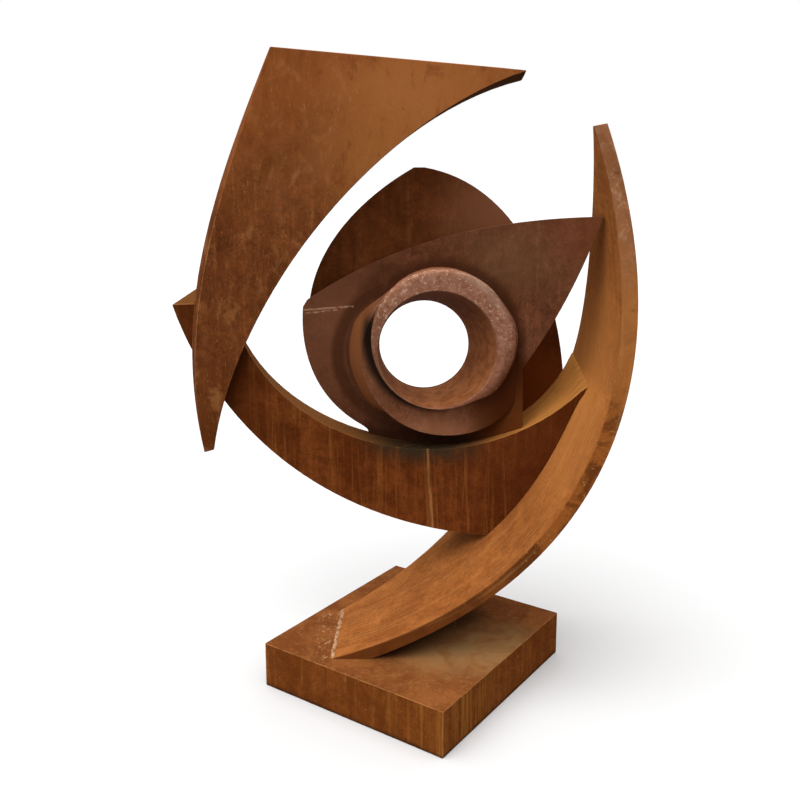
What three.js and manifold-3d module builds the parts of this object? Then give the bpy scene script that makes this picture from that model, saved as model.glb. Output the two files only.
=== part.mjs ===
// Abstract sculpture welded from weathering steel: a block plinth, a sweeping crescent arm, a cradle
// crescent, a shield-shaped blade, two leaves and a spiral collar round an open eye.
// Millimetres, +Z up. The origin is the middle of the plinth's underside. X runs across the width of
// the work and Y from its front to its back, and the plinth stands turned under it.
import * as THREE from "three";
import { mergeVertices } from "three/addons/utils/BufferGeometryUtils.js";
import Module from "manifold-3d";

const wasm = await Module();
wasm.setup();

// ---- driving dimensions ----
const plinthSize = { x: 650, y: 700, z: 140 };
const plinthTurn = -35; // degrees, from the width of the work to the plinth's shorter side
const gap = 0.3; // between faces that touch
const trimStep = 0.6; // a trimmed face stands this far off along X, Y or Z
const curveSteps = 32; // straight pieces in one curved edge
const sheetThickness = 12;

// The edges are cubic curves in X and Z, given by a start, two handles and an end.
const arm = {
  frontDepth: -195,
  foot: plinthSize.z + gap,
  innerFront: [[-255, 140], [517, 360], [712, 1009], [472, 1694]],
  outerFront: [[-137, 140], [575, 417], [757, 1031], [507, 1701]],
  innerBackLow: [[-240, 140], [293, 298], [378, 838], [482, 904]],
  innerBackHigh: [[482, 904], [572, 961], [521, 1487], [470, 1694]],
  // the back plate is flat and runs through these corners
  backFootCorner: [-240, 126, 140],
  backCradleCorner: [514, 262, 977],
  backTip: [469, -183, 1694],
  sections: 64,
  strips: 4, // across each broad face, which is twisted
};

const cradle = {
  frontHeading: -10, // degrees, the right end stands nearer the front
  frontDepthAtMiddle: 102.7,
  backDepth: 262,
  leftPoint: [-791, 1142],
  leftShoulder: [-640, 1152],
  frontRim: [[-551, 1013], [-348, 629], [212, 601], [500, 907]],
  keel: [[234, 424], [-248, 425], [-636, 690], [-791, 1140]],
  frontHiddenEnd: [[548, 945], [484, 782], [400, 575], [234, 424]],
  backLeftPoint: [-790, 1144],
  backShoulder: [-692, 1208],
  backRim: [[-555, 1010], [-366, 646], [322, 522], [514, 977]],
  backHiddenEnd: [[536, 1000], [390, 768], [370, 610], [234, 424]],
};

const blade = {
  thickness: 50,
  front: {
    topLeft: [-438, 1937],
    tip: [313, 1857],
    lowerEdge: [[313, 1856], [-152, 1706], [-576, 1151], [-658, 676]],
    leftEdge: [[-690, 666], [-774, 1106], [-600, 1535], [-438, 1937]],
  },
  back: {
    topLeft: [-445, 1943],
    tip: [306, 1836],
    lowerEdge: [[302, 1831], [-153, 1731], [-597, 1111], [-667, 661]],
    leftEdge: [[-701, 650], [-800, 1129], [-638, 1518], [-445, 1943]],
  },
};

const backLeaf = {
  frontDepth: cradle.backDepth + gap,
  leftEdge: [[-348, 1140], [-327, 1335], [-173, 1488], [-6, 1582]],
  rightEdge: [[28, 1582], [330, 1529], [461, 1197], [488, 922]],
  lowerRight: [[488, 922], [440, 800], [300, 640], [90, 630]],
  lowerLeft: [[90, 630], [-190, 640], [-364, 900], [-348, 1140]],
};

// The front leaf is rolled about an upright axis, so that its tip comes forward to the arm.
const frontLeaf = {
  axis: [-186, -646],
  radius: 884.5,
  upperEdge: [[-351, 1161], [-94, 1333], [215, 1418], [521, 1446]],
  lowerEdge: [[521, 1446], [481, 1280], [416, 1118], [331, 970]],
  seamFoot: [335, 640],
  hiddenFoot: [-120, 640],
  shellEdge: [[-162, 732], [-317, 812], [-379, 973], [-364, 1140]],
};

// Each circle of the collar has its own middle, so that the eye looks drawn to one side.
const collar = {
  frontDepth: 35,
  backDepth: cradle.backDepth - gap,
  nearBore: { x: 64, z: 1033, radius: 184 },
  farBore: { x: 28, z: 1007, radius: 147 },
  lip: { x: 77, z: 1062, radius: 217 },
  lipRound: 16, // the lip's outer edge, which grows softer on the right
  lipSoftness: 30,
  lipSoftens: [285, 350],
  lipHardens: [390, 420],
  lipSwell: 24, // the lip also bulges outwards there
  lipSwells: [301, 326],
  lipShrinks: [366, 404],
  band: { x: 95, z: 1016, radius: 271 },
  wallDepth: 200,
  wallFlare: 52,
  wallFlares: [125, 170],
  wallStraightens: [220, 275],
  wallTaper: 45,
  // degrees round the eye, from +X through +Z
  firstSection: 60,
  bandGrows: [120, 200],
  bandFades: [315, 385],
  slotDeepens: [125, 200],
  slotCloses: [265, 345],
  slotDepth: 55,
  sections: 96,
};

// ---- shared construction ----
function steel(color, roughness) {
  return new THREE.MeshStandardMaterial({ color, roughness, metalness: 0.25 });
}

function curve([start, handleA, handleB, end]) {
  return new THREE.CubicBezierCurve(
    new THREE.Vector2(...start),
    new THREE.Vector2(...handleA),
    new THREE.Vector2(...handleB),
    new THREE.Vector2(...end),
  );
}

// points of an edge, without its last one, which belongs to the next edge
function edge(handles, steps = curveSteps) {
  return curve(handles).getPoints(steps).slice(0, -1);
}

function corner(point) {
  return new THREE.Vector2(...point);
}

// where an edge that only rises reaches a height
function pointAtHeight(path, height) {
  let low = 0;
  let high = 1;
  for (let halving = 0; halving < 30; halving += 1) {
    const middle = (low + high) / 2;
    if (path.getPoint(middle).y < height) low = middle;
    else high = middle;
  }
  return path.getPoint((low + high) / 2);
}

// depth of the flat plane through three [x, depth, z] corners
function depthOnPlane(a, b, c) {
  const corners = [a, b, c].map((point) => new THREE.Vector3(...point));
  const plane = new THREE.Plane().setFromCoplanarPoints(...corners);
  return (x, z) => -(plane.normal.x * x + plane.normal.z * z + plane.constant) / plane.normal.y;
}

// a closed geometry from points and triangles, turned so that its faces point out
function closed(points, triangles) {
  let volume = 0;
  for (const [a, b, c] of triangles) {
    volume += points[a].dot(new THREE.Vector3().crossVectors(points[b], points[c]));
  }
  const faces = volume < 0 ? triangles.map(([a, b, c]) => [a, c, b]) : triangles;
  const geometry = new THREE.BufferGeometry().setFromPoints(points);
  geometry.setIndex(faces.flat());
  return geometry;
}

// joins one ring of points to the next
function bridge(count, first, second) {
  const triangles = [];
  for (let i = 0; i < count; i += 1) {
    const next = (i + 1) % count;
    triangles.push([first + i, second + i, second + next]);
    triangles.push([first + i, second + next, first + next]);
  }
  return triangles;
}

// a solid between a front and a back outline with the same number of points
function between(frontOutline, backOutline, frontDepth, backDepth) {
  if (THREE.ShapeUtils.isClockWise(frontOutline)) {
    return between(frontOutline.toReversed(), backOutline.toReversed(), frontDepth, backDepth);
  }
  const count = frontOutline.length;
  const front = frontOutline.map(({ x, y }) => new THREE.Vector3(x, frontDepth(x, y), y));
  const back = backOutline.map(({ x, y }) => new THREE.Vector3(x, backDepth(x, y), y));
  const frontFace = THREE.ShapeUtils.triangulateShape(frontOutline, []);
  const backFace = THREE.ShapeUtils.triangulateShape(backOutline, []);
  const triangles = [
    ...frontFace,
    ...backFace.map(([a, b, c]) => [c + count, b + count, a + count]),
    ...bridge(count, 0, count),
  ];
  return closed([...front, ...back], triangles);
}

function flatPlate(outline, frontDepth, thickness) {
  return between(outline, outline, () => frontDepth, () => frontDepth + thickness);
}

// an upright wall over an outline drawn in X and Y
function uprightWall(outline, bottom, top) {
  const geometry = new THREE.ExtrudeGeometry(new THREE.Shape(outline), {
    depth: top - bottom,
    bevelEnabled: false,
  });
  return geometry.translate(0, 0, bottom);
}

function solid(geometry) {
  const bare = geometry.clone();
  bare.deleteAttribute("normal");
  bare.deleteAttribute("uv");
  const merged = mergeVertices(bare, 1e-4);
  return new wasm.Manifold(
    new wasm.Mesh({
      numProp: 3,
      vertProperties: Float32Array.from(merged.attributes.position.array),
      triVerts: Uint32Array.from(merged.index.array),
    }),
  );
}

function geometryOf(manifold) {
  const mesh = manifold.getMesh();
  const geometry = new THREE.BufferGeometry();
  geometry.setAttribute("position", new THREE.BufferAttribute(mesh.vertProperties, 3));
  geometry.setIndex(new THREE.BufferAttribute(mesh.triVerts, 1));
  return geometry;
}

// cuts a neighbour out of a piece, with a thin gap left all round it
function trimmedBy(piece, neighbour) {
  let left = piece;
  for (const axis of ["x", "y", "z"]) {
    for (const side of [-trimStep, trimStep]) {
      const shift = new THREE.Vector3();
      shift[axis] = side;
      left = left.subtract(solid(neighbour.clone().translate(shift.x, shift.y, shift.z)));
    }
  }
  return left;
}

function named(name, geometry, material) {
  geometry.computeVertexNormals();
  const mesh = new THREE.Mesh(geometry, material);
  mesh.name = name;
  return mesh;
}

// ---- the pieces ----
function plinthGeometry() {
  const block = new THREE.BoxGeometry(plinthSize.x, plinthSize.y, plinthSize.z);
  return block.translate(0, 0, plinthSize.z / 2);
}

// A horn with four edges: both plates are flat, and they close up towards the tip.
function armGeometry() {
  const innerFront = curve(arm.innerFront);
  const outerFront = curve(arm.outerFront);
  const innerBackLow = curve(arm.innerBackLow);
  const innerBackHigh = curve(arm.innerBackHigh);
  const backDepth = depthOnPlane(arm.backFootCorner, arm.backCradleCorner, arm.backTip);
  const points = [];
  for (let section = 0; section <= arm.sections; section += 1) {
    // the sections lie closer together at the foot, where the arm lies flattest
    const rise = (section / arm.sections) ** 1.6;
    const innerHeight = THREE.MathUtils.lerp(arm.foot, arm.innerFront[3][1], rise);
    const outerHeight = THREE.MathUtils.lerp(arm.foot, arm.outerFront[3][1], rise);
    const innerX = pointAtHeight(innerFront, innerHeight).x;
    const outerX = pointAtHeight(outerFront, outerHeight).x;
    const innerBack = innerHeight < arm.innerBackHigh[0][1] ? innerBackLow : innerBackHigh;
    const backX = pointAtHeight(innerBack, innerHeight).x;
    const outerBackX = backX + outerX - innerX;
    const innerFrontCorner = new THREE.Vector3(innerX, arm.frontDepth, innerHeight);
    const outerFrontCorner = new THREE.Vector3(outerX, arm.frontDepth, outerHeight);
    const innerBackCorner = new THREE.Vector3(backX, backDepth(backX, innerHeight), innerHeight);
    const outerBackDepth = backDepth(outerBackX, outerHeight);
    const outerBackCorner = new THREE.Vector3(outerBackX, outerBackDepth, outerHeight);
    for (let strip = 0; strip <= arm.strips; strip += 1) {
      const share = strip / arm.strips;
      points.push(new THREE.Vector3().lerpVectors(outerFrontCorner, outerBackCorner, share));
    }
    for (let strip = arm.strips; strip >= 0; strip -= 1) {
      const share = strip / arm.strips;
      points.push(new THREE.Vector3().lerpVectors(innerFrontCorner, innerBackCorner, share));
    }
  }
  const ring = arm.strips * 2 + 2;
  const triangles = [];
  for (let section = 0; section < arm.sections; section += 1) {
    triangles.push(...bridge(ring, section * ring, section * ring + ring));
  }
  // the two ends, strip by strip
  const last = arm.sections * ring;
  for (let outer = 0; outer < arm.strips; outer += 1) {
    const inner = ring - 1 - outer;
    triangles.push([outer, outer + 1, inner - 1], [outer, inner - 1, inner]);
    triangles.push([last + outer, last + inner - 1, last + outer + 1]);
    triangles.push([last + outer, last + inner, last + inner - 1]);
  }
  return closed(points, triangles);
}

function cradleFrontDepth(x) {
  return cradle.frontDepthAtMiddle + x * Math.tan(THREE.MathUtils.degToRad(cradle.frontHeading));
}

function cradleGeometry(armShape) {
  const frontOutline = [
    corner(cradle.leftPoint),
    corner(cradle.leftShoulder),
    ...edge(cradle.frontRim),
    corner(cradle.frontRim[3]),
    ...edge(cradle.frontHiddenEnd),
    ...edge(cradle.keel),
  ];
  const backOutline = [
    corner(cradle.backLeftPoint),
    corner(cradle.backShoulder),
    ...edge(cradle.backRim),
    corner(cradle.backRim[3]),
    ...edge(cradle.backHiddenEnd),
    ...edge(cradle.keel),
  ];
  const shape = between(frontOutline, backOutline, cradleFrontDepth, () => cradle.backDepth);
  return geometryOf(trimmedBy(solid(shape), armShape));
}

// The blade lies flat on the cradle's front face. Its back outline is fuller on the left and lower at
// the tip, so its side faces turn outward.
function bladeGeometry() {
  const outline = ({ topLeft, tip, lowerEdge, leftEdge }) => [
    corner(topLeft),
    corner(tip),
    ...edge(lowerEdge),
    corner(lowerEdge[3]),
    ...edge(leftEdge),
  ];
  const backDepth = (x) => cradleFrontDepth(x) - gap;
  const frontDepth = (x) => backDepth(x) - blade.thickness;
  return between(outline(blade.front), outline(blade.back), frontDepth, backDepth);
}

// a round bar from front to back, to clear the eye
function eyePlug({ x, z, radius }) {
  const circle = new THREE.Path();
  circle.absarc(x, z, radius, 0, 2 * Math.PI);
  return solid(flatPlate(circle.getPoints(curveSteps).slice(0, -1), -400, 900));
}

function backLeafGeometry(armShape) {
  const outline = [
    ...edge(backLeaf.leftEdge),
    corner(backLeaf.leftEdge[3]),
    ...edge(backLeaf.rightEdge),
    ...edge(backLeaf.lowerRight),
    ...edge(backLeaf.lowerLeft),
  ];
  const disc = solid(flatPlate(outline, backLeaf.frontDepth, sheetThickness));
  return geometryOf(trimmedBy(disc.subtract(eyePlug(collar.farBore)), armShape));
}

function frontLeafGeometry(armShape, cradleShape, collarShape) {
  const outline = [
    ...edge(frontLeaf.upperEdge),
    ...edge(frontLeaf.lowerEdge),
    corner(frontLeaf.lowerEdge[3]),
    corner(frontLeaf.seamFoot),
    corner(frontLeaf.hiddenFoot),
    ...edge(frontLeaf.shellEdge),
    corner(frontLeaf.shellEdge[3]),
  ];
  const [axisX, axisY] = frontLeaf.axis;
  const outer = frontLeaf.radius + sheetThickness;
  const rolled = new THREE.Path();
  rolled.absarc(axisX, axisY, outer, Math.PI * 0.72, Math.PI * 0.14, true);
  rolled.absarc(axisX, axisY, frontLeaf.radius, Math.PI * 0.14, Math.PI * 0.72, false);
  const wall = solid(uprightWall(rolled.getPoints(curveSteps * 2), 500, 1600));
  const elevation = solid(flatPlate(outline, -400, 900));
  const open = wall.intersect(elevation).subtract(eyePlug(collar.nearBore));
  const sheet = open.subtract(eyePlug({ ...collar.farBore, radius: collar.nearBore.radius }));
  return geometryOf(trimmedBy(trimmedBy(trimmedBy(sheet, cradleShape), collarShape), armShape));
}

// distance from the middle of the eye to a circle, in one direction
function reach({ x, z, radius }, angle) {
  const offset = new THREE.Vector2(x - collar.nearBore.x, z - collar.nearBore.z);
  const along = offset.x * Math.cos(angle) + offset.y * Math.sin(angle);
  return along + Math.sqrt(along * along - offset.lengthSq() + radius * radius);
}

// The lip round the eye stands proud of a band that winds back round it, as a snail's shell does.
function collarGeometry() {
  const points = [];
  const profileCount = 9;
  for (let section = 0; section < collar.sections; section += 1) {
    const degrees = (section / collar.sections) * 360 + collar.firstSection;
    const angle = THREE.MathUtils.degToRad(degrees);
    const between0and1 = ([from, to]) => THREE.MathUtils.smoothstep(degrees, from, to);
    const slot = between0and1(collar.slotDeepens) - between0and1(collar.slotCloses);
    const band = between0and1(collar.bandGrows) * (1 - between0and1(collar.bandFades));
    const flare = between0and1(collar.wallFlares) - between0and1(collar.wallStraightens);
    const soft = between0and1(collar.lipSoftens) - between0and1(collar.lipHardens);
    const swell = between0and1(collar.lipSwells) - between0and1(collar.lipShrinks);
    const lipReach = reach(collar.lip, angle) + collar.lipSwell * swell;
    const lipWidth = lipReach - reach(collar.nearBore, angle);
    const lipRound = Math.min(collar.lipRound + collar.lipSoftness * soft, lipWidth - 1.5);
    const widest = Math.max(reach(collar.band, angle), lipReach + 2);
    const bandReach = THREE.MathUtils.lerp(lipReach + 2, widest, band);
    const slotFloor = collar.frontDepth + lipRound + 6 + slot * collar.slotDepth;
    const wallReach = bandReach + flare * collar.wallFlare - band * (1 - flare) * collar.wallTaper - 10;
    const profile = [
      [reach(collar.farBore, angle), collar.backDepth],
      [reach(collar.nearBore, angle), collar.frontDepth],
      [lipReach - lipRound, collar.frontDepth],
      [lipReach - lipRound * 0.29, collar.frontDepth + lipRound * 0.29],
      [lipReach, collar.frontDepth + lipRound],
      [lipReach + 1, slotFloor + 1],
      [bandReach, slotFloor + 1],
      [wallReach, collar.wallDepth],
      [wallReach - 14, collar.backDepth],
    ];
    for (const [radius, depth] of profile) {
      const x = collar.nearBore.x + radius * Math.cos(angle);
      const z = collar.nearBore.z + radius * Math.sin(angle);
      points.push(new THREE.Vector3(x, depth, z));
    }
  }
  const triangles = [];
  for (let section = 0; section < collar.sections; section += 1) {
    const next = (section + 1) % collar.sections;
    triangles.push(...bridge(profileCount, section * profileCount, next * profileCount));
  }
  return closed(points, triangles);
}

// ---- the object ----
const armShape = armGeometry();
const cradleShape = cradleGeometry(armShape);
const collarShape = collarGeometry();

const plinthMesh = named("plinth", plinthGeometry(), steel(0x754425, 0.85));
plinthMesh.rotation.z = THREE.MathUtils.degToRad(plinthTurn);

const sculpture = new THREE.Group();
sculpture.add(plinthMesh);
sculpture.add(named("sweeping_arm", armShape, steel(0x8e4f26, 0.85)));
sculpture.add(named("cradle", cradleShape, steel(0x6d3a20, 0.88)));
sculpture.add(named("shield_blade", bladeGeometry(), steel(0x7a4527, 0.85)));
sculpture.add(named("back_leaf", backLeafGeometry(armShape), steel(0x4a2b20, 0.8)));
const frontLeafShape = frontLeafGeometry(armShape, cradleShape, collarShape);
sculpture.add(named("front_leaf", frontLeafShape, steel(0x553326, 0.8)));
sculpture.add(named("spiral_collar", collarShape, steel(0x74452f, 0.85)));

export default sculpture;
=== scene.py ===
"""Looks of a welded weathering steel sculpture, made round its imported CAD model. Metres, +Z up."""

import math
from collections import namedtuple

import bmesh
import bpy
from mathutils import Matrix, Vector, noise


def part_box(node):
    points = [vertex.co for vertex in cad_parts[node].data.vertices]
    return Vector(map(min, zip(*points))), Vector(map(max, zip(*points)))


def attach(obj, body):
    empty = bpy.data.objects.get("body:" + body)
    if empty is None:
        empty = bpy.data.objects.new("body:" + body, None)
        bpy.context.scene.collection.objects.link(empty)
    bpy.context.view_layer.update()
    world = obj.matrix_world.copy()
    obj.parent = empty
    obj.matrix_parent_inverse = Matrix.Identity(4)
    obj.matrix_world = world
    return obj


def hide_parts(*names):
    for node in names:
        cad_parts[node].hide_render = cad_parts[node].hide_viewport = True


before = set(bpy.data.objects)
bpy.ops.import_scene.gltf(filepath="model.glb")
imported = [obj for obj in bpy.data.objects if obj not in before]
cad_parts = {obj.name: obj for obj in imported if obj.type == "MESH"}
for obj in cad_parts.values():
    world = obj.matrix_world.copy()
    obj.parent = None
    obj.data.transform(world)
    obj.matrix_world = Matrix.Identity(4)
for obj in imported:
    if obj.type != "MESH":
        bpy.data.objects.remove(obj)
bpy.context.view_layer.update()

# circles round the eye, seen from the front: the X and Z of the middle, and the radius
Circle = namedtuple("Circle", "x z radius")
BORE = Circle(0.064, 1.033, 0.184)
LIP = Circle(0.077, 1.062, 0.217)
BAND = Circle(0.095, 1.016, 0.271)
# and on the front leaf, the corner round the lip, the one beside the band, and a dished ring
LIP_CORNER = Circle(0.084, 1.045, 0.27)
BAND_CORNER = Circle(0.06, 1.02, 0.315)
DISHED_RING = Circle(-0.02, 0.98, 0.233)


# ---- small helpers for node trees ----
class Tree:
    """A material's or world's node tree, with short ways to add and link nodes."""

    def __init__(self, owner):
        owner.use_nodes = True
        self.nodes = owner.node_tree.nodes
        self.links = owner.node_tree.links
        self.nodes.clear()

    def add(self, kind, settings=None, **inputs):
        node = self.nodes.new(kind)
        for name, value in (settings or {}).items():
            setattr(node, name, value)
        for name, value in inputs.items():
            self.feed(node.inputs[name.replace("_", " ")], value)
        return node

    def feed(self, socket, value):
        if isinstance(value, bpy.types.NodeSocket):
            self.links.new(value, socket)
        else:
            socket.default_value = value

    def math(self, operation, *values):
        node = self.nodes.new("ShaderNodeMath")
        node.operation = operation
        for socket, value in zip(node.inputs, values):
            self.feed(socket, value)
        return node.outputs[0]

    def product(self, first, *others):
        for other in others:
            first = self.math("MULTIPLY", first, other)
        return first

    def vector(self, operation, *values):
        node = self.nodes.new("ShaderNodeVectorMath")
        node.operation = operation
        for socket, value in zip(node.inputs, values):
            self.feed(socket, value)
        return node.outputs["Value" if operation in ("LENGTH", "DOT_PRODUCT") else "Vector"]

    def step(self, value, start, end, low=0.0, high=1.0):
        """Goes smoothly from low to high as value goes from start to end."""
        node = self.add("ShaderNodeMapRange", {"interpolation_type": "SMOOTHSTEP"}, Value=value)
        for name, number in zip(("From Min", "From Max", "To Min", "To Max"), (start, end, low, high)):
            node.inputs[name].default_value = number
        return node.outputs["Result"]

    def mix(self, factor, first, second, blend="MIX"):
        node = self.nodes.new("ShaderNodeMix")
        node.data_type = "RGBA"
        node.blend_type = blend
        for index, value in ((0, factor), (6, first), (7, second)):
            if isinstance(value, tuple):
                value = (*value, 1.0)
            self.feed(node.inputs[index], value)
        return node.outputs[2]

    def grey(self, shade):
        return self.add("ShaderNodeCombineColor", Red=shade, Green=shade, Blue=shade).outputs[0]


class Surface(Tree):
    """A steel surface. Its colour is built up in layers, each laid over the ones before it."""

    def __init__(self, name):
        self.material = bpy.data.materials.new(name)
        super().__init__(self.material)
        self.place = self.add("ShaderNodeTexCoord").outputs["Object"]
        self.x, self.y, self.z = self.add("ShaderNodeSeparateXYZ", Vector=self.place).outputs
        self.colour = None
        self.relief = None

    def lay(self, tone, *masks):
        """Lays a tone over the colour, as strongly as all the masks multiplied together."""
        self.colour = self.mix(self.product(*masks), self.colour, tone)

    def stretched(self, x, y, z):
        return self.vector("MULTIPLY", self.place, (x, y, z))

    def noise_at(self, vector, scale=1.0, detail=3.0, rough=0.55, warp=0.0):
        node = self.add("ShaderNodeTexNoise", Vector=vector, Scale=scale, Detail=detail)
        self.feed(node.inputs["Roughness"], rough)
        self.feed(node.inputs["Distortion"], warp)
        return node.outputs["Fac"]

    def noise(self, scale, **kind):
        """Noise over the surface. A scale with a number for each axis stretches it."""
        if isinstance(scale, tuple):
            return self.noise_at(self.stretched(*scale), **kind)
        return self.noise_at(self.place, scale, **kind)

    def blob(self, middle, size, soft):
        """1 inside an ellipsoid, fading to 0 outside it."""
        offset = self.vector("SUBTRACT", self.place, middle)
        inside = self.vector("DIVIDE", offset, size)
        return self.step(self.vector("LENGTH", inside), 1.0, 1.0 - soft)

    def line(self, start, end, width, soft, place=None):
        """1 near a straight line between two points, fading to 0 at width."""
        start = Vector(start)
        along = Vector(end) - start
        offset = self.vector("SUBTRACT", place or self.place, tuple(start))
        share = self.vector("DOT_PRODUCT", offset, tuple(along / along.length_squared))
        share = self.math("MINIMUM", self.math("MAXIMUM", share, 0.0), 1.0)
        scaled = self.add("ShaderNodeVectorMath", {"operation": "SCALE"}, Scale=share)
        scaled.inputs[0].default_value = tuple(along)
        distance = self.vector("LENGTH", self.vector("SUBTRACT", offset, scaled.outputs[0]))
        return self.step(distance, width, width * (1 - soft))

    def outwards(self, circle):
        """The way from a circle's middle to a place, seen from the front."""
        offset = self.vector("SUBTRACT", self.place, (circle.x, 0.0, circle.z))
        return self.vector("MULTIPLY", offset, (1.0, 0.0, 1.0))

    def past(self, circle):
        """How far a place lies outside a circle, seen from the front."""
        return self.math("SUBTRACT", self.vector("LENGTH", self.outwards(circle)), circle.radius)

    def facing_up(self, start, end):
        normal = self.add("ShaderNodeNewGeometry").outputs["Normal"]
        return self.step(self.add("ShaderNodeSeparateXYZ", Vector=normal).outputs["Z"], start, end)

    def finish(self, roughness=0.85, specular=0.03, depth=0.0012):
        bump = self.add("ShaderNodeBump", Height=self.relief, Strength=0.7, Distance=depth)
        shader = self.add("ShaderNodeBsdfPrincipled", Base_Color=self.colour, Roughness=roughness)
        self.feed(shader.inputs["Specular IOR Level"], specular)
        self.feed(shader.inputs["Normal"], bump.outputs[0])
        self.add("ShaderNodeOutputMaterial", Surface=shader.outputs[0])
        return self.material


# ---- camera, light and floor ----
CAMERA_AT = (-0.0509, -2.7978, 1.5976)
CAMERA_PITCH = math.radians(79.6)
CAMERA_LENS = 42.57  # mm, on a sensor 36 mm wide
CAMERA_SHIFT = -0.08

LAMP_AT = Vector((-0.42, -0.42, 0.9)).normalized()  # the way to a broad soft lamp, up on the left in front
LAMP_STRENGTH = 1.9
LAMP_EDGE = 0.7  # cosines of the angles from its middle where it starts and where it is full
LAMP_FULL = 0.97
SKY_STRENGTH = 0.37  # from the sides, and how much more comes from straight above
SKY_ABOVE = 1.75

FLOOR_RADIUS = 60
FLOOR_SHADE = 0.26  # in the light that it throws up, and how much paler it is where it is seen
FLOOR_SEEN = 0.48


def make_camera():
    data = bpy.data.cameras.new("camera")
    data.lens = CAMERA_LENS
    data.sensor_width = 36
    data.shift_y = CAMERA_SHIFT
    camera = bpy.data.objects.new("camera", data)
    camera.location = CAMERA_AT
    camera.rotation_euler = (CAMERA_PITCH, 0, 0)
    bpy.context.scene.collection.objects.link(camera)
    bpy.context.scene.camera = camera


def make_world():
    world = bpy.data.worlds.new("studio")
    tree = Tree(world)
    direction = tree.add("ShaderNodeTexCoord").outputs["Generated"]
    height = tree.add("ShaderNodeSeparateXYZ", Vector=direction).outputs["Z"]
    above = tree.math("POWER", tree.math("MAXIMUM", height, 0.0), 3.0)
    sky = tree.math("MULTIPLY_ADD", above, SKY_ABOVE, SKY_STRENGTH)
    facing = tree.vector("DOT_PRODUCT", direction, tuple(LAMP_AT))
    strength = tree.math("ADD", sky, tree.step(facing, LAMP_EDGE, LAMP_FULL, 0.0, LAMP_STRENGTH))
    light = tree.add("ShaderNodeBackground", Color=(1, 1, 1, 1), Strength=strength)
    # the world is plain white where it is seen
    white = tree.add("ShaderNodeBackground", Color=(1, 1, 1, 1), Strength=1.0)
    seen = tree.add("ShaderNodeLightPath").outputs["Is Camera Ray"]
    mix = tree.add("ShaderNodeMixShader", Fac=seen)
    tree.links.new(light.outputs[0], mix.inputs[1])
    tree.links.new(white.outputs[0], mix.inputs[2])
    tree.add("ShaderNodeOutputWorld", Surface=mix.outputs[0])
    bpy.context.scene.world = world


def make_floor():
    mesh = bpy.data.meshes.new("floor")
    bm = bmesh.new()
    bmesh.ops.create_circle(bm, cap_ends=True, segments=64, radius=FLOOR_RADIUS)
    bm.to_mesh(mesh)
    bm.free()
    floor = bpy.data.objects.new("floor", mesh)
    bpy.context.scene.collection.objects.link(floor)
    material = bpy.data.materials.new("floor")
    tree = Tree(material)
    seen = tree.add("ShaderNodeLightPath").outputs["Is Camera Ray"]
    shade = tree.math("MULTIPLY_ADD", seen, FLOOR_SEEN, FLOOR_SHADE)
    diffuse = tree.add("ShaderNodeBsdfDiffuse", Color=tree.grey(shade))
    tree.add("ShaderNodeOutputMaterial", Surface=diffuse.outputs[0])
    mesh.materials.append(material)


# ---- skins: each piece again, with its edges worn round ----
BEVEL = 0.0022
SHARP = math.radians(28)  # edges that turn more than this are rounded
FLAT = math.radians(0.4)  # faces that turn less than this are joined
WELD_WITHIN = 0.0012
SLIVER = 0.0002


def make_skin(name):
    """Copies a CAD node, cleans it, rounds its sharp edges and marks them for a paler tone, wear and a
    painted highlight.
    """
    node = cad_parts[name]
    bm = bmesh.new()
    bm.from_mesh(node.data)
    edge_layer = bm.faces.layers.float.new("edge")
    bmesh.ops.remove_doubles(bm, verts=bm.verts, dist=WELD_WITHIN)
    bmesh.ops.dissolve_degenerate(bm, dist=SLIVER, edges=bm.edges)
    bmesh.ops.dissolve_limit(bm, angle_limit=FLAT, verts=bm.verts, edges=bm.edges)
    sharp = [e for e in bm.edges if len(e.link_faces) == 2 and e.calc_face_angle(0) > SHARP]
    worn = bmesh.ops.bevel(
        bm,
        geom=sharp,
        offset=BEVEL,
        offset_type="OFFSET",
        segments=2,
        profile=0.5,
        affect="EDGES",
        clamp_overlap=True,
    )
    for face in worn["faces"]:
        face[edge_layer] = 1.0
    bmesh.ops.recalc_face_normals(bm, faces=bm.faces)
    for face in bm.faces:
        face.smooth = True
    mesh = bpy.data.meshes.new(name + "_skin")
    bm.to_mesh(mesh)
    bm.free()
    skin = bpy.data.objects.new(name + "_skin", mesh)
    bpy.context.scene.collection.objects.link(skin)
    weighted = skin.modifiers.new("normals", "WEIGHTED_NORMAL")
    weighted.keep_sharp = False
    weighted.weight = 90
    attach(skin, "root")
    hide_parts(name)
    return skin


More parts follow.
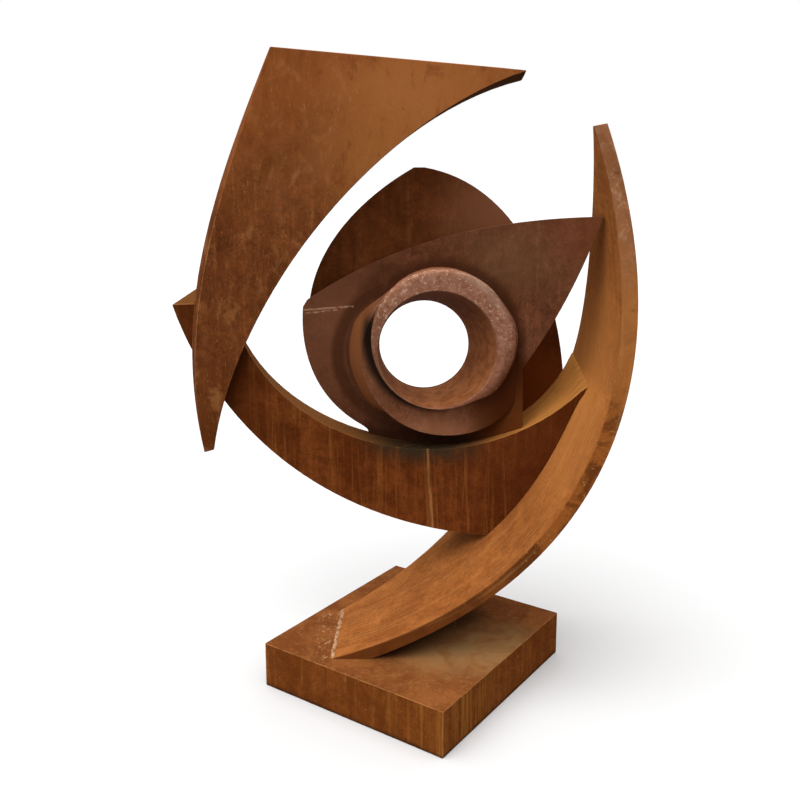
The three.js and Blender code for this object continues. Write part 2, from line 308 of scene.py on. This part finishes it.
# ---- weathering steel ----
def start_rust(
    name,
    dark,
    middle,
    light,
    grain,
    blotch=5.0,
    edge=(0.42, 0.19, 0.075),
    wear_and_highlight=0.6,
    contrast=1.0,
):
    """A rusted surface in three tones with paler edges, worn and with a painted highlight. The grain
    stretches its runs.
    """
    rust = Surface(name)
    clouds = rust.noise(blotch, detail=5, rough=0.62, warp=0.5)
    rust.colour = rust.mix(rust.step(clouds, 0.36, 0.64), dark, middle)
    runs = rust.noise_at(grain(rust), detail=6, rough=0.66)
    rust.lay(light, rust.step(runs, 0.52, 0.74, 0.0, 0.8 * contrast))
    rust.lay(dark, rust.step(runs, 0.48, 0.3, 0.0, 0.8 * contrast))
    patches = rust.noise(blotch * 7, detail=5, rough=0.65, warp=0.8)
    patches = rust.step(patches, 0.3, 0.7, 1 - 0.24 * contrast, 1 + 0.24 * contrast)
    fine = rust.noise(170, rough=0.75)
    specks = rust.step(fine, 0.28, 0.72, 1 - 0.22 * contrast, 1 + 0.22 * contrast)
    shade = rust.grey(rust.product(patches, specks))
    rust.colour = rust.mix(1.0, rust.colour, shade, "MULTIPLY")
    # paler edges: wear, and a painted highlight along the rounded edges
    worn = rust.add("ShaderNodeAttribute", {"attribute_name": "edge"}).outputs["Fac"]
    rust.lay(edge, worn, rust.step(rust.noise(26), 0.34, 0.58, wear_and_highlight * 0.25, wear_and_highlight))
    rust.relief = rust.math("ADD", rust.product(runs, 0.5), rust.product(fine, 0.6))
    return rust


def upright(across, along):
    """A grain of upright runs."""
    return lambda surface: surface.stretched(across, across, along)


def arm_grain(surface):
    """A grain that runs along the arm, round a middle to its left."""
    low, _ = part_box("sweeping_arm")
    sideways = surface.math("SUBTRACT", surface.x, low.x - 0.1)
    up = surface.math("SUBTRACT", surface.z, low.z + 0.95)
    squares = surface.math("ADD", surface.product(sideways, sideways), surface.product(up, up))
    node = surface.add(
        "ShaderNodeCombineXYZ",
        X=surface.product(surface.y, 130.0),
        Y=surface.product(surface.math("SQRT", squares), 9.0),
        Z=surface.product(surface.math("ARCTAN2", up, sideways), 1.6),
    )
    return node.outputs[0]


def blade_material():
    low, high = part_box("shield_blade")
    rust = start_rust(
        "blade_steel",
        dark=(0.125, 0.035, 0.009),
        middle=(0.172, 0.05, 0.0135),
        light=(0.245, 0.08, 0.023),
        grain=upright(52, 3.6),
        blotch=4.5,
    )
    # brighter and more orange towards the top, painted light from above, with two warm patches on the
    # right
    uneven = rust.math("MULTIPLY_ADD", rust.noise(5, detail=4, rough=0.6, warp=0.4), 0.5, -0.25)
    lit = rust.step(rust.math("ADD", rust.z, uneven), high.z - 0.62, high.z - 0.02, 0.0, 0.8)
    orange = rust.mix(rust.noise((40, 40, 4), detail=4), (0.23, 0.066, 0.015), (0.36, 0.108, 0.026))
    rust.lay(orange, lit)
    warm = rust.blob((low.x + 0.66, low.y, high.z - 0.33), (0.42, 0.6, 0.25), 0.9)
    rust.lay((0.4, 0.145, 0.036), warm, 0.62)
    glow = rust.blob((low.x + 0.72, low.y, high.z - 0.12), (0.42, 0.6, 0.22), 0.9)
    rust.lay((0.47, 0.165, 0.045), glow, 0.6)
    # a cooler, greyer bloom on the upper left
    bloom = rust.blob((low.x + 0.33, low.y, high.z - 0.36), (0.24, 0.6, 0.28), 0.9)
    cloudy = rust.step(rust.noise(9, detail=5, rough=0.6, warp=0.8), 0.44, 0.62)
    rust.lay((0.24, 0.082, 0.033), bloom, cloudy, 0.3)
    # the low end is dark with painted shade
    rust.lay((0.1, 0.026, 0.004), rust.step(rust.z, low.z + 0.5, low.z, 0.0, 0.75))
    # cloudy mottling, redder and yellower by turns, then small pale scratches
    mottles = rust.noise((17, 17, 10), detail=8, rough=0.7, warp=0.45)
    rust.lay((0.155, 0.037, 0.01), rust.step(mottles, 0.48, 0.34, 0.0, 0.5))
    rust.lay((0.38, 0.148, 0.048), rust.step(mottles, 0.52, 0.68, 0.0, 0.5))
    scratches = rust.noise((120, 120, 30), rough=0.6, warp=2.2)
    rust.lay((0.46, 0.22, 0.11), rust.step(scratches, 0.62, 0.72, 0.0, 0.5))
    # the concave edge, which faces down, is darkened by painted shade
    painted_shade_below = rust.math("SUBTRACT", 1.0, rust.facing_up(-0.45, -0.15))
    rust.lay((0.035, 0.014, 0.006), painted_shade_below, 0.85)
    return rust.finish()


def arm_material():
    low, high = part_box("sweeping_arm")
    rust = start_rust(
        "arm_steel",
        dark=(0.27, 0.083, 0.019),
        middle=(0.37, 0.124, 0.029),
        light=(0.47, 0.185, 0.05),
        grain=arm_grain,
        blotch=6.0,
        edge=(0.5, 0.21, 0.055),
        wear_and_highlight=0.7,
        contrast=0.7,
    )
    # painted light makes it brighter where the cradle joins it, on its shaded concave side
    painted_light_at_join = rust.blob((high.x - 0.12, low.y + 0.3, low.z + 0.78), (0.36, 0.5, 0.62), 0.9)
    rust.lay((0.62, 0.235, 0.058), painted_light_at_join, 0.72)
    # the front face is redder, with dark patches and pale specks
    patches = rust.step(rust.noise(13, detail=8, rough=0.74, warp=0.6), 0.44, 0.6)
    red = rust.mix(patches, (0.35, 0.105, 0.02), (0.13, 0.034, 0.008))
    speckle = rust.step(rust.noise(85, rough=0.6), 0.62, 0.72, 0.0, 0.65)
    red = rust.mix(speckle, red, (0.55, 0.28, 0.09))
    # that face is paler higher up with painted light, chalky towards its tip, and dark at the foot with
    # painted shade
    painted_light_high = rust.step(rust.z, low.z + 0.65, low.z + 1.05)
    to_tip = rust.step(rust.z, low.z + 1.0, low.z + 1.4)
    pale_front = rust.mix(to_tip, (0.48, 0.185, 0.05), (0.36, 0.16, 0.08))
    red = rust.mix(rust.product(painted_light_high, 0.75), red, pale_front)
    chalky = rust.step(rust.noise(48, detail=5, rough=0.75, warp=0.5), 0.5, 0.66, 0.0, 0.75)
    red = rust.mix(rust.product(chalky, to_tip), red, (0.56, 0.33, 0.2))
    painted_shade_at_foot = rust.step(rust.z, low.z + 0.45, low.z + 0.1)
    red = rust.mix(rust.product(painted_shade_at_foot, 0.85), red, (0.105, 0.028, 0.006))
    front = rust.step(rust.y, low.y + 0.006, low.y + 0.001)
    rust.lay(red, front, 0.88)
    # fine light and dark drawn lines that follow its sweep, and dark spots
    along = rust.vector("MULTIPLY", arm_grain(rust), (2.3, 2.3, 0.6))
    drawn = rust.noise_at(along, detail=5, rough=0.7)
    rust.lay((0.6, 0.29, 0.1), rust.step(drawn, 0.53, 0.68, 0.0, 0.4))
    rust.lay((0.2, 0.062, 0.014), rust.step(drawn, 0.46, 0.33, 0.0, 0.4))
    spots = rust.noise(30, rough=0.6, warp=0.5)
    rust.lay((0.15, 0.055, 0.022), rust.step(spots, 0.66, 0.74, 0.0, 0.55))
    return rust.finish()


# the ground weld down the cradle's front face and the rust runs beside it:
# how far each stands to the right of the weld, its width, its strength and its tone
CRADLE_SEAMS = (
    (0.0, 0.0085, 0.85, (0.42, 0.18, 0.06)),
    (-0.012, 0.006, 0.4, (0.3, 0.11, 0.025)),
    (0.018, 0.005, 0.35, (0.32, 0.12, 0.03)),
    (-0.225, 0.005, 0.35, (0.3, 0.11, 0.025)),
    (0.115, 0.005, 0.4, (0.34, 0.13, 0.035)),
    (0.235, 0.004, 0.3, (0.32, 0.12, 0.03)),
)
CRADLE_SLOPE = 0.18  # how fast the cradle's front face comes forward towards the right


def cradle_material():
    low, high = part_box("cradle")
    collar_low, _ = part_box("spiral_collar")
    rust = start_rust(
        "cradle_steel",
        dark=(0.11, 0.025, 0.0045),
        middle=(0.18, 0.046, 0.01),
        light=(0.29, 0.098, 0.022),
        grain=upright(60, 2.8),
        blotch=7.0,
        edge=(0.42, 0.21, 0.08),
        wear_and_highlight=0.95,
        contrast=0.75,
    )
    # long thin drips down the front face, some orange and some nearly black
    drips = rust.noise((80, 30, 2.6), detail=5, rough=0.65)
    rust.lay((0.32, 0.105, 0.021), rust.step(drips, 0.54, 0.72, 0.0, 0.38))
    rust.lay((0.07, 0.016, 0.003), rust.step(drips, 0.46, 0.3, 0.0, 0.42))
    # dimmer towards both ends
    dim = rust.math("ADD", rust.step(rust.x, 0.1, 0.4), rust.step(rust.x, -0.4, -0.72))
    rust.lay((0.08, 0.018, 0.0035), dim, 0.65)
    # the top face is ochre, and brighter towards the arm
    ochre = rust.mix(rust.step(rust.x, 0.08, 0.38), (0.21, 0.085, 0.023), (0.62, 0.25, 0.055))
    worn = rust.step(rust.noise((9, 90, 9), detail=6, rough=0.7), 0.42, 0.7, 0.0, 0.55)
    mottled = rust.mix(worn, ochre, (0.25, 0.1, 0.03))
    rust.lay(mottled, rust.facing_up(0.12, 0.4), 0.8)
    # a greenish black stain on the steel under the collar, with painted shadow from the collar over it
    collar_shadow_and_stain = rust.blob((0.025, 0.16, collar_low.z - 0.03), (0.26, 0.36, 0.09), 0.75)
    ragged = rust.step(rust.noise(22, detail=5, rough=0.62, warp=0.8), 0.22, 0.5)
    rust.lay((0.035, 0.027, 0.015), collar_shadow_and_stain, ragged, 0.9)
    weld_top = Vector((0.036, low.y + 0.09, high.z - 0.49))
    weld_foot = Vector((0.054, low.y + 0.083, low.z))
    broken = rust.step(rust.noise((180, 40, 14), detail=4, rough=0.6), 0.36, 0.58, 0.15, 1.0)
    for shift, width, strength, tone in CRADLE_SEAMS:
        along_face = Vector((shift, -shift * CRADLE_SLOPE, 0))
        # away from the middle the rim is higher, so the runs start higher
        start = weld_top + along_face + Vector((0, 0, abs(shift) * 0.1))
        seam = rust.line(start, weld_foot + along_face, width, 0.85)
        rust.lay(tone, seam, broken, strength)
    return rust.finish()


def plinth_material():
    low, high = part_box("plinth")
    rust = start_rust(
        "plinth_steel",
        dark=(0.115, 0.029, 0.0055),
        middle=(0.19, 0.053, 0.0105),
        light=(0.3, 0.105, 0.023),
        grain=upright(44, 3.0),
        blotch=6.5,
        edge=(0.47, 0.22, 0.075),
        wear_and_highlight=0.9,
    )
    # ochre runs down the side by the front corner
    runs = rust.step(rust.noise((62, 62, 2.2), detail=5, rough=0.6), 0.46, 0.66)
    by_corner = rust.blob((0.14, low.y, 0.07), (0.3, 0.4, 0.4), 0.9)
    rust.lay((0.4, 0.165, 0.03), runs, by_corner, 0.75)
    # the sides are a little redder all over, and the top has a cloudy rust with fine grains
    rust.lay((0.33, 0.088, 0.012), 0.2)
    clouds = rust.step(rust.noise(9, detail=6, rough=0.65, warp=0.7), 0.38, 0.62)
    cloudy = rust.mix(clouds, (0.165, 0.05, 0.013), (0.245, 0.083, 0.022))
    grains = rust.step(rust.noise(60, detail=4, rough=0.7), 0.5, 0.68, 0.0, 0.45)
    top = rust.facing_up(0.6, 0.9)
    rust.lay(rust.mix(grains, cloudy, (0.34, 0.135, 0.045)), top, 0.88)
    # where water stands under the arm the rust turns greenish and tan
    damp = rust.blob((0.17, -0.12, high.z), (0.35, 0.24, 0.06), 0.8)
    ragged = rust.step(rust.noise(11, detail=5, rough=0.62, warp=0.8), 0.32, 0.6)
    rust.lay((0.28, 0.152, 0.058), damp, top, rust.math("MULTIPLY_ADD", ragged, 0.6, 0.4))
    # painted shadow darkens the narrow gap under the arm
    painted_shadow_under_arm = rust.line((-0.1, -0.13, high.z), (0.16, 0.08, high.z), 0.12, 0.95)
    rust.lay((0.045, 0.017, 0.005), painted_shadow_under_arm, 0.92)
    speckle = rust.noise(110, rough=0.6)
    rust.lay((0.45, 0.22, 0.08), rust.step(speckle, 0.64, 0.74, 0.0, 0.5))
    # pale scratches beside the weld at the arm's foot
    near, far = foot_line()
    beside = rust.line(near + Vector((-0.03, 0.02, 0)), far + Vector((-0.035, -0.05, 0)), 0.055, 0.95)
    cuts = rust.step(rust.noise((70, 30, 60), detail=4, rough=0.6, warp=1.8), 0.54, 0.66)
    rust.lay((0.55, 0.3, 0.15), beside, cuts, 0.75)
    # a nearly black line, uneven along its top, where the sides meet the ground
    uneven = rust.math("MULTIPLY_ADD", rust.noise(30), 0.012, rust.z)
    rust.lay((0.035, 0.014, 0.007), rust.step(uneven, low.z + 0.022, low.z + 0.006), 0.8)
    return rust.finish()


def back_leaf_material():
    low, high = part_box("back_leaf")
    rust = start_rust(
        "back_leaf_steel",
        dark=(0.1, 0.025, 0.0045),
        middle=(0.15, 0.041, 0.0095),
        light=(0.2, 0.064, 0.02),
        grain=upright(36, 4.5),
        blotch=4.0,
        edge=(0.25, 0.09, 0.035),
        wear_and_highlight=0.35,
        contrast=0.8,
    )
    # paler on the upper right, and redder low on the right
    upper = rust.blob((high.x - 0.18, low.y, high.z - 0.17), (0.33, 0.4, 0.33), 0.9)
    rust.lay((0.28, 0.108, 0.05), upper, 0.75)
    foot = rust.blob((high.x - 0.09, low.y, low.z + 0.22), (0.2, 0.4, 0.2), 0.7)
    rust.lay((0.19, 0.043, 0.0065), foot, 0.85)
    return rust.finish(roughness=0.75, specular=0.07, depth=0.0006)


def front_leaf_material():
    low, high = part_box("front_leaf")
    rust = start_rust(
        "front_leaf_steel",
        dark=(0.115, 0.036, 0.014),
        middle=(0.16, 0.055, 0.025),
        light=(0.21, 0.079, 0.036),
        grain=upright(36, 4.0),
        edge=(0.4, 0.17, 0.085),
        wear_and_highlight=0.8,
    )
    # olive above the collar, redder at the tip and paler on the left
    olive = rust.blob((high.x - 0.27, low.y + 0.1, high.z - 0.15), (0.26, 0.5, 0.17), 0.9)
    rust.lay((0.165, 0.078, 0.034), olive, 0.5)
    tip = rust.blob((high.x, low.y, high.z - 0.04), (0.24, 0.4, 0.22), 0.9)
    rust.lay((0.15, 0.04, 0.0125), tip, 0.6)
    left = rust.blob((low.x + 0.1, 0.2, 1.13), (0.28, 0.6, 0.42), 0.9)
    rust.lay((0.235, 0.09, 0.044), left, 0.55)
    # painted shade darkens the corners round the collar, and a shallow dished ring on the left
    groove = rust.step(rust.past(LIP_CORNER), 0.0, -0.035)
    beside = rust.step(rust.past(BAND_CORNER), 0.0, -0.03, 0.0, 0.7)
    beside = rust.product(beside, rust.step(rust.x, 0.0, -0.12))
    dished = rust.step(rust.math("ABSOLUTE", rust.past(DISHED_RING)), 0.034, 0.01)
    dished = rust.product(dished, rust.step(rust.x, 0.0, -0.13))
    painted_corner_shade = rust.math("MAXIMUM", rust.math("MAXIMUM", groove, beside), dished)
    rust.lay((0.055, 0.016, 0.005), painted_corner_shade, 0.72)
    # painted shadow makes the foot dark behind the collar, and nearly black at its bottom
    dark = rust.mix(rust.step(rust.z, 0.95, 0.8), (0.068, 0.015, 0.0018), (0.13, 0.034, 0.005))
    rust.lay(dark, rust.step(rust.x, 0.12, 0.24), rust.step(rust.z, 1.03, 0.97), 0.95)
    rust.lay((0.028, 0.008, 0.002), rust.step(rust.z, 0.79, 0.71), rust.step(rust.x, 0.24, 0.12), 0.85)
    # a ground weld, in two broken lines, runs in from the left edge
    flat = rust.stretched(1.0, 0.0, 1.0)
    upper = rust.line((low.x + 0.006, 0, 1.129), (low.x + 0.162, 0, 1.138), 0.004, 0.6, flat)
    lower = rust.line((low.x + 0.008, 0, 1.117), (low.x + 0.11, 0, 1.127), 0.004, 0.6, flat)
    broken = rust.step(rust.noise((60, 1, 90)), 0.4, 0.52, 0.1, 1.0)
    rust.lay((0.5, 0.28, 0.17), rust.math("MAXIMUM", upper, lower), broken, 0.85)
    return rust.finish(roughness=0.75, specular=0.07, depth=0.0006)


def collar_material():
    low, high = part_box("spiral_collar")
    rust = start_rust(
        "collar_steel",
        dark=(0.19, 0.066, 0.028),
        middle=(0.28, 0.105, 0.05),
        light=(0.36, 0.15, 0.08),
        grain=upright(26, 12),
        blotch=9.0,
        edge=(0.45, 0.24, 0.14),
    )
    # the lip's face is pinkish
    face = rust.step(rust.y, low.y + 0.05, low.y + 0.025)
    clouds = rust.step(rust.noise(38, detail=6, rough=0.75, warp=0.6), 0.36, 0.64)
    rosy = rust.mix(clouds, (0.26, 0.102, 0.054), (0.4, 0.19, 0.118))
    rust.lay(rosy, face, rust.step(rust.z, 0.86, 1.02, 0.25, 0.8))
    # painted shade darkens its rolled outer edge on the right, most of all lower down, and its thin left
    # side is browner
    past_lip = rust.past(LIP)
    rolled = rust.product(rust.step(past_lip, -0.027, 0.018), rust.step(rust.x, 0.15, 0.25))
    rust.lay((0.085, 0.026, 0.007), rolled, rust.step(rust.z, 1.14, 0.92, 0.1, 0.95))
    rust.lay((0.15, 0.058, 0.026), rust.step(rust.x, -0.07, -0.12, 0.0, 0.55))
    # and a painted highlight makes it greyer where it rolls over at the upper right
    painted_highlight_upper_right = rust.blob((0.2, low.y, 1.2), (0.15, 0.3, 0.14), 0.8)
    rust.lay((0.43, 0.27, 0.2), rust.step(past_lip, -0.032, -0.012), face, painted_highlight_upper_right, 0.5)
    # painted light makes the band paler along its bottom
    painted_light_band_bottom = rust.blob((0.06, 0.09, 0.755), (0.22, 0.5, 0.11), 0.8)
    rust.lay((0.42, 0.175, 0.085), painted_light_band_bottom, 0.55)
    # pale specks on the lip's face crowd at its top
    specks = rust.step(rust.noise(105, detail=5, rough=0.78, warp=0.6), 0.53, 0.64)
    crowding = rust.step(rust.z, high.z - 0.34, high.z - 0.06)
    crowding = rust.math("MULTIPLY_ADD", crowding, 0.78, 0.14)
    rust.lay((0.66, 0.43, 0.3), specks, face, crowding)
    # the bore keeps a browner rust, with painted shade under its roof
    normal = rust.add("ShaderNodeNewGeometry").outputs["True Normal"]
    inside = rust.step(rust.vector("DOT_PRODUCT", normal, rust.outwards(BORE)), -0.05, -0.09)
    bore = rust.product(inside, rust.step(rust.y, low.y + 0.002, low.y + 0.02))
    grains = rust.step(rust.noise(30, detail=5, rough=0.7), 0.4, 0.62)
    brown = rust.mix(grains, (0.24, 0.073, 0.018), (0.36, 0.128, 0.042))
    rust.lay(brown, bore, 0.88)
    rust.lay((0.09, 0.026, 0.008), bore, rust.step(rust.z, 1.06, 1.16), 0.6)
    # so does the outer wall, which painted shade makes nearly black on the right
    outside = rust.math("SUBTRACT", 1.0, inside)
    wall = rust.product(outside, rust.step(rust.y, low.y + 0.055, low.y + 0.085))
    side = rust.mix(rust.step(rust.x, 0.07, -0.1), (0.06, 0.016, 0.004), (0.23, 0.075, 0.021))
    rust.lay(side, wall, rust.step(rust.past(BAND), -0.009, 0.003), 0.85)
    # painted shade darkens the band where it runs in under the lip on the right
    behind_lip = rust.step(rust.y, low.y + 0.03, low.y + 0.045)
    on_right = rust.product(outside, rust.step(rust.x, 0.1, 0.24), behind_lip)
    rust.lay((0.09, 0.024, 0.006), on_right, 0.85)
    end = rust.product(rust.step(rust.x, 0.215, 0.275), rust.step(rust.z, 1.0, 0.95))
    rust.lay((0.066, 0.014, 0.0014), end, on_right, 0.95)
    # painted shade makes the slot between lip and band black, widest on the left
    width = rust.step(rust.x, 0.2, -0.1, 0.011, 0.03)
    slot = rust.step(rust.math("DIVIDE", past_lip, width), 1.5, 0.5)
    slot = rust.product(slot, rust.step(rust.z, 1.16, 1.1), rust.step(rust.x, 0.3, 0.12))
    slot_depth = rust.step(rust.y, low.y + 0.012, low.y + 0.022)
    rust.lay((0.012, 0.006, 0.003), slot, slot_depth, outside, 0.95)
    return rust.finish(roughness=0.8, specular=0.08)


# ---- the weld bead at the arm's foot ----
BEAD_RADIUS = 0.0065
BEAD_FLATNESS = 0.7  # its height over its half width
BEAD_RINGS = 150
BEAD_SIDES = 10
BEAD_WANDER = 0.0022  # how far it strays to each side
BEAD_SEED = 3.0


def foot_line():
    """The two ends of the weld along the arm's foot, on the plinth."""
    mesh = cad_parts["sweeping_arm"].data
    low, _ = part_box("sweeping_arm")
    foot = [v.co for v in mesh.vertices if v.co.z < low.z + 0.001]
    near = min((p for p in foot if p.y < low.y + 0.001), key=lambda p: p.x)
    far = max(foot, key=lambda p: p.y - 2 * (p.x - near.x))
    return near.copy(), far.copy()


def weld_material():
    weld = Surface("weld")
    grains = weld.step(weld.noise(70, detail=4, rough=0.7, warp=0.5), 0.38, 0.62)
    weld.colour = weld.mix(grains, (0.26, 0.105, 0.038), (0.56, 0.34, 0.19))
    weld.relief = weld.noise(150)
    return weld.finish()


def make_weld(name, start, end, owner):
    """A bead that follows a line, with the ripples and swellings of hand welding."""
    along = end - start
    out = along.cross(Vector((0, 0, 1))).normalized()
    bm = bmesh.new()
    rings = []
    for step in range(BEAD_RINGS + 1):
        share = step / BEAD_RINGS
        swell = 1 + 0.28 * noise.noise((share * 14, BEAD_SEED, 0)) + 0.1 * math.sin(share * 150)
        taper = min(1.0, share * 18, (1 - share) * 18) ** 0.5
        size = BEAD_RADIUS * swell * max(taper, 0.05)
        wander = BEAD_WANDER * noise.noise((share * 9, BEAD_SEED, 5))
        middle = start + along * share + out * wander
        ring = []
        for side in range(BEAD_SIDES):
            turn = math.pi * side / (BEAD_SIDES - 1)
            rise = Vector((0, 0, math.sin(turn) * size * BEAD_FLATNESS))
            ring.append(bm.verts.new(middle + out * (math.cos(turn) * size) + rise))
        rings.append(ring)
    for first, second in zip(rings, rings[1:]):
        for side in range(BEAD_SIDES):
            following = (side + 1) % BEAD_SIDES
            bm.faces.new((first[side], first[following], second[following], second[side]))
    bm.faces.new(rings[0][::-1])
    bm.faces.new(rings[-1])
    bmesh.ops.recalc_face_normals(bm, faces=bm.faces)
    for face in bm.faces:
        face.smooth = True
    mesh = bpy.data.meshes.new(name)
    bm.to_mesh(mesh)
    bm.free()
    weld = bpy.data.objects.new(name, mesh)
    bpy.context.scene.collection.objects.link(weld)
    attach(weld, "root")
    return weld


# ---- the scene ----
MATERIALS = {
    "plinth": plinth_material,
    "sweeping_arm": arm_material,
    "cradle": cradle_material,
    "shield_blade": blade_material,
    "back_leaf": back_leaf_material,
    "front_leaf": front_leaf_material,
    "spiral_collar": collar_material,
}

bpy.context.scene.view_settings.view_transform = "Standard"
make_camera()
make_world()
make_floor()

for piece_name, make_material in MATERIALS.items():
    make_skin(piece_name).data.materials.append(make_material())

bead = make_weld("foot_weld", *foot_line(), "plinth")
bead.data.materials.append(weld_material())
